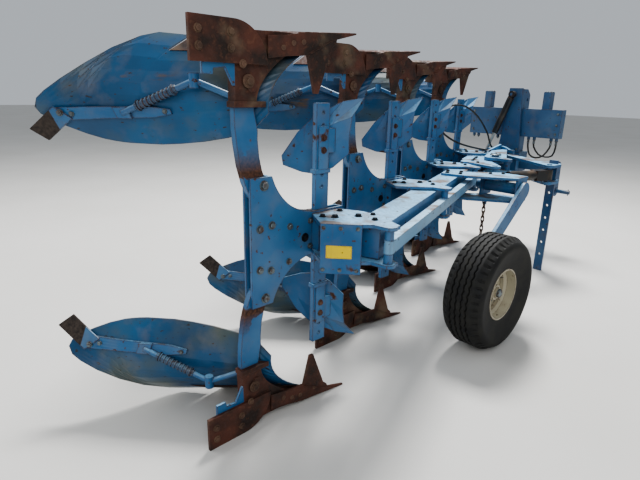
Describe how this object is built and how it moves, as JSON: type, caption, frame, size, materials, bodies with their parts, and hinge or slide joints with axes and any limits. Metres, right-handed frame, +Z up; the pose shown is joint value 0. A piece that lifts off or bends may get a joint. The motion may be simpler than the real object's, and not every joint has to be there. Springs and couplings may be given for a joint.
{
  "type": "reversible mouldboard plough",
  "caption": "Reversible mouldboard plough on a slanting beam, with mirrored pairs of bodies, swinging depth wheel, parking stand and three-point headstock.",
  "frame": {"origin": "on the ground, under the middle of the box around the whole parked plough", "axes": "+X forward along the line of travel, +Y to the left, +Z up"},
  "size_m": [4.4072, 2.1998, 1.734],
  "materials": {
    "blue_paint": "worn satin",
    "pale_paint": "worn satin",
    "board_steel": "worn satin",
    "rusty_steel": "rusty matt",
    "black_paint": "satin",
    "rod_steel": "satin",
    "hose_rubber": "matt",
    "chain_steel": "rusty matt",
    "tyre": "dusty matt",
    "rim_paint": "worn satin"
  },
  "bodies": {
    "headstock": {"tower": "blue_paint", "cross_plate": "blue_paint", "hitch_bar": "blue_paint", "turn_housing": "blue_paint", "headstock_hoses": "hose_rubber"},
    "turn_frame": {"swing_head": "blue_paint", "lever_arm": "blue_paint", "frame_hose": "hose_rubber"},
    "stand": {"parking_stand": "blue_paint"},
    "turn_barrel": {"turn_cylinder": "black_paint"},
    "turn_ram": {"turn_rod": "rod_steel"},
    "beam": {"main_beam": "blue_paint", "swing_plates": "blue_paint", "wheel_bracket": "blue_paint", "chain": "chain_steel"},
    "width_barrel": {"width_cylinder": "black_paint"},
    "width_ram": {"width_rod": "rod_steel"},
    "control_bar": {"control_bar": "pale_paint"},
    "wheel_arm": {"wheel_arm": "blue_paint"},
    "wheel": {"tyre": "tyre", "rim": "rim_paint"},
    "body_1": {"console_1": "blue_paint", "cheeks_1": "blue_paint", "legs_1": "blue_paint", "boards_1": "board_steel", "shares_1": "rusty_steel", "landsides_1": "rusty_steel", "stays_1": "blue_paint", "skimmers_1": "blue_paint"},
    "body_2": {"console_2": "blue_paint", "cheeks_2": "blue_paint", "legs_2": "blue_paint", "boards_2": "board_steel", "shares_2": "rusty_steel", "landsides_2": "rusty_steel", "stays_2": "blue_paint", "skimmers_2": "blue_paint"},
    "body_3": {"console_3": "blue_paint", "cheeks_3": "blue_paint", "legs_3": "blue_paint", "boards_3": "board_steel", "shares_3": "rusty_steel", "landsides_3": "rusty_steel", "stays_3": "blue_paint", "skimmers_3": "blue_paint"},
    "body_4": {"console_4": "blue_paint", "cheeks_4": "blue_paint", "legs_4": "blue_paint", "boards_4": "board_steel", "shares_4": "rusty_steel", "landsides_4": "rusty_steel", "stays_4": "blue_paint", "skimmers_4": "blue_paint"}
  },
  "joints": [
    {"name": "turnover", "type": "hinge", "parent": "headstock", "child": "turn_frame", "pos_m": [1.86356, 0.0202, 0.867], "axis": [1, 0, 0], "range_deg": [0, 180]},
    {"name": "turn_barrel_swing", "type": "hinge", "parent": "headstock", "child": "turn_barrel", "pos_m": [1.94856, 0.0302, 1.5], "axis": [1, 0, 0], "range_deg": [-38.6, 0]},
    {"name": "turn_rod_slide", "type": "slide", "parent": "turn_barrel", "child": "turn_ram", "axis": [0, 0.3441, -0.9389], "range_m": [-0.1502, 0]},
    {"name": "width", "type": "hinge", "parent": "turn_frame", "child": "beam", "pos_m": [1.21356, -0.2498, 0.867], "axis": [0, 0, 1], "range_deg": [-2.3, 10.2]},
    {"name": "width_barrel_swing", "type": "hinge", "parent": "turn_frame", "child": "width_barrel", "pos_m": [1.41356, -0.6298, 0.867], "axis": [0, 0, 1], "range_deg": [-0.95, 4.2]},
    {"name": "width_rod_slide", "type": "slide", "parent": "width_barrel", "child": "width_ram", "axis": [-0.9272, 0.3745, 0], "range_m": [-0.0512, 0.0116]},
    {"name": "body_1_pivot", "type": "hinge", "parent": "beam", "child": "body_1", "pos_m": [1.70156, 0.1252, 0.867], "axis": [0, 0, 1], "range_deg": [-10.2, 2.3]},
    {"name": "body_2_pivot", "type": "hinge", "parent": "beam", "child": "body_2", "pos_m": [0.76068, -0.21354, 0.867], "axis": [0, 0, 1], "range_deg": [-10.2, 2.3]},
    {"name": "body_3_pivot", "type": "hinge", "parent": "beam", "child": "body_3", "pos_m": [-0.1802, -0.55227, 0.867], "axis": [0, 0, 1], "range_deg": [-10.2, 2.3]},
    {"name": "body_4_pivot", "type": "hinge", "parent": "beam", "child": "body_4", "pos_m": [-1.12108, -0.89101, 0.867], "axis": [0, 0, 1], "range_deg": [-10.2, 2.3]},
    {"name": "control_bar_pivot", "type": "hinge", "parent": "body_1", "child": "control_bar", "pos_m": [1.64656, -0.0188, 0.867], "axis": [0, 0, 1], "range_deg": [-2.3, 10.2]},
    {"name": "wheel_swing", "type": "hinge", "parent": "beam", "child": "wheel_arm", "pos_m": [0.56324, -0.8198, 0.867], "axis": [0, 1, 0], "range_deg": [0, 76.8]},
    {"name": "wheel_spin", "type": "hinge", "parent": "wheel_arm", "child": "wheel", "pos_m": [-0.08676, -0.97491, 0.352], "axis": [0, 1, 0], "continuous": true},
    {"name": "stand_slide", "type": "slide", "parent": "turn_frame", "child": "stand", "axis": [0, 0, 1], "range_m": [0, 0.4]}
  ],
  "couplings": [
    {"joint": "turn_barrel_swing", "follows": "turnover", "ratio": -0.2144},
    {"joint": "turn_rod_slide", "follows": "turnover", "m_per_rad": -0.0478},
    {"joint": "width_barrel_swing", "follows": "width", "ratio": 0.41},
    {"joint": "width_rod_slide", "follows": "width", "m_per_rad": -0.287},
    {"joint": "body_1_pivot", "follows": "width", "ratio": -1},
    {"joint": "body_2_pivot", "follows": "width", "ratio": -1},
    {"joint": "body_3_pivot", "follows": "width", "ratio": -1},
    {"joint": "body_4_pivot", "follows": "width", "ratio": -1},
    {"joint": "control_bar_pivot", "follows": "width", "ratio": 1}
  ]
}
